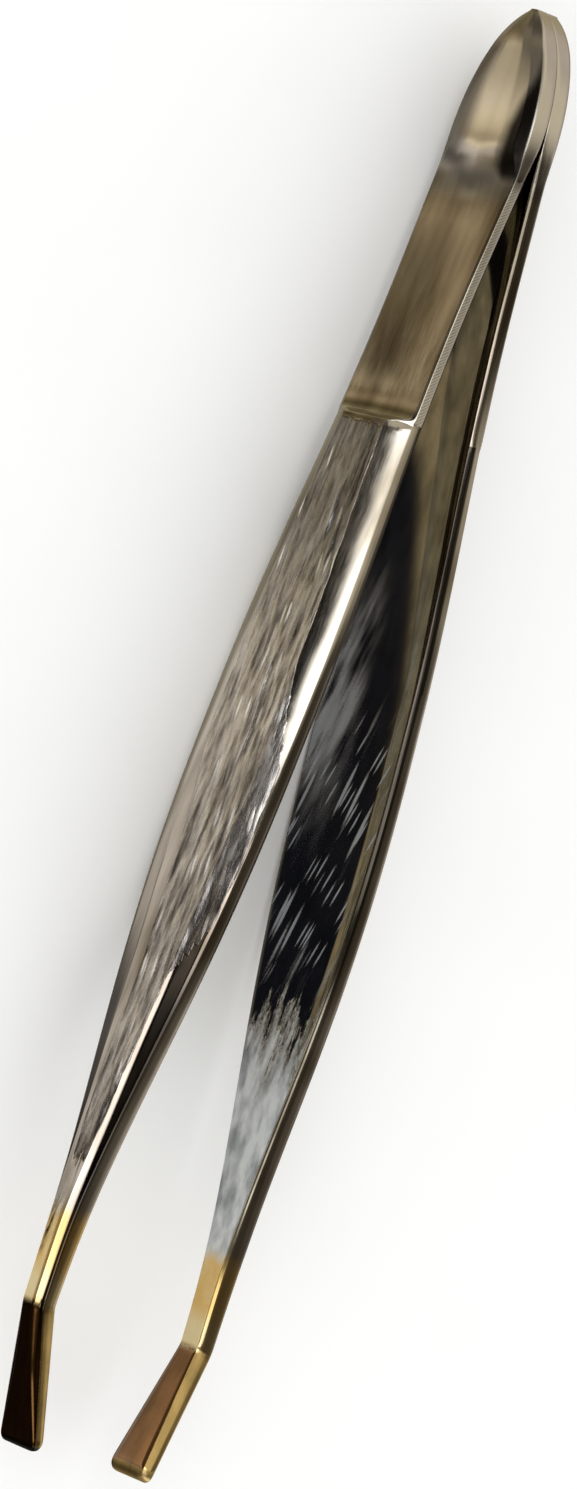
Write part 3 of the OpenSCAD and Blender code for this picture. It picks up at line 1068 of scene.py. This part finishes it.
def light_studio():
    """A soft white dome for the floor, and a dark tent with cards in it that the bright metal
    mirrors. Left and right are the sides of the left and right arms."""
    world = bpy.data.worlds.new("studio")
    bpy.context.scene.world = world
    world.use_nodes = True
    tree = world.node_tree
    tree.nodes.clear()
    toward = add(tree, "TexCoord").outputs["Generated"]
    way = add(tree, "SeparateXYZ", {"Vector": toward}).outputs
    height = add(
        tree, "MapRange", {"Value": way["Z"], "From Min": -1.0, "From Max": 1.0}
    ).outputs["Result"]
    length = add(
        tree, "MapRange", {"Value": way["X"], "From Min": -0.4, "From Max": 0.6}
    ).outputs["Result"]
    left, cloth, right = (
        add(
            tree, "ValToRGB", {"Fac": where}, stops=[(at, studio(code)) for at, code in colours]
        ).outputs["Color"]
        for where, colours in ((height, LEFT_WALL), (length, CLOTH), (height, RIGHT_WALL))
    )
    on_cloth = between(tree, way["Z"], -2.0, -0.74, 0.035)
    left = add(
        tree, "Mix", {FACTOR: on_cloth, COLOUR_A: left, COLOUR_B: cloth}, data_type="RGBA"
    ).outputs[COLOUR_OUT]
    for card in LEFT_CARDS:
        left = hang_card(tree, left, way, *card)
    to_left = add(
        tree, "MapRange", {"Value": way["Y"], "From Min": -0.1, "From Max": 0.1},
        interpolation_type="SMOOTHSTEP",
    ).outputs["Result"]
    tent = add(
        tree, "Mix", {FACTOR: to_left, COLOUR_A: right, COLOUR_B: left}, data_type="RGBA"
    ).outputs[COLOUR_OUT]
    for card in WIDE_CARDS:
        tent = hang_card(tree, tent, way, *card)
    mirrored = add(tree, "Background", {"Color": tent, "Strength": STUDIO_GAIN}).outputs[0]
    dome = add(
        tree, "Background", {"Color": tone("#fdfdfd"), "Strength": DOME_STRENGTH}
    ).outputs[0]
    ray = add(tree, "LightPath").outputs
    both = add(tree, "MixShader", {0: ray["Is Glossy Ray"], 1: dome, 2: mirrored}).outputs[0]
    add(tree, "OutputWorld", {"Surface": both})
    world.cycles.sampling_method = "NONE"


def white_card():
    """Matt white card. The eye gets a plain pale ground, clouded so little that it doesn't show."""
    material, tree, place = start_finish("matt_white_card")
    cloud = add(
        tree, "TexNoise", {"Vector": spread(tree, place, 20.0, 20.0, 20.0), "Scale": 1.0}
    ).outputs["Fac"]
    colour = add(
        tree, "ValToRGB", {"Fac": cloud},
        stops=[(0.3, tone("#f6f6f4")), (0.7, tone("#f9f9f8"))],
    ).outputs["Color"]
    shader = add(tree, "BsdfDiffuse", {"Color": colour})
    add(tree, "OutputMaterial", {"Surface": shader.outputs[0]})
    return material


def lay_floor():
    """The floor under the tweezers. The metal mirrors the tent and not the floor."""
    bpy.ops.object.select_all(action="DESELECT")
    bpy.ops.mesh.primitive_plane_add(size=4.0, location=(0, 0, cad_low.z))
    floor = bpy.context.object
    floor.name = "floor"
    floor.data.transform(floor.matrix_world)
    floor.matrix_world = Matrix.Identity(4)
    floor.data.materials.append(white_card())
    floor.visible_glossy = False


def set_camera():
    """The photograph's view, from a fit of the arms' outlines."""
    azimuth, elevation, roll = (math.radians(a) for a in (182.74, 56.65, 105.70))
    target = Vector((-0.90, 0.0, 3.36)) * MM
    distance = 517.4 * MM
    back = Vector((
        math.sin(azimuth) * math.cos(elevation),
        -math.cos(azimuth) * math.cos(elevation),
        math.sin(elevation),
    ))
    level = Vector((math.cos(azimuth), math.sin(azimuth), 0))
    steep = back.cross(level)
    right = math.cos(roll) * level + math.sin(roll) * steep
    up = back.cross(right)
    turn = Matrix((right, up, back)).transposed().to_4x4()
    camera = bpy.data.objects.new("camera", bpy.data.cameras.new("camera"))
    bpy.context.scene.collection.objects.link(camera)
    camera.matrix_world = Matrix.Translation(target + back * distance) @ turn
    camera.data.lens = 200
    camera.data.sensor_width = 36
    camera.data.clip_end = 20
    bpy.context.scene.camera = camera


set_camera()
light_studio()
lay_floor()
finishes = {
    "polished": polished_nickel(),
    "ground": ground_nickel(),
    "inner": inner_nickel(),
    "edge": edge_nickel(),
}
for node_name, side, seed in (("left_arm", 1, 11), ("right_arm", -1, 23)):
    arm = make_arm(node_name, node_name + "_plated", side, seed)
    dress_arm(arm, side, finishes)
    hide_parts(node_name)
    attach(arm, "root")

bpy.context.scene.view_settings.view_transform = "Standard"
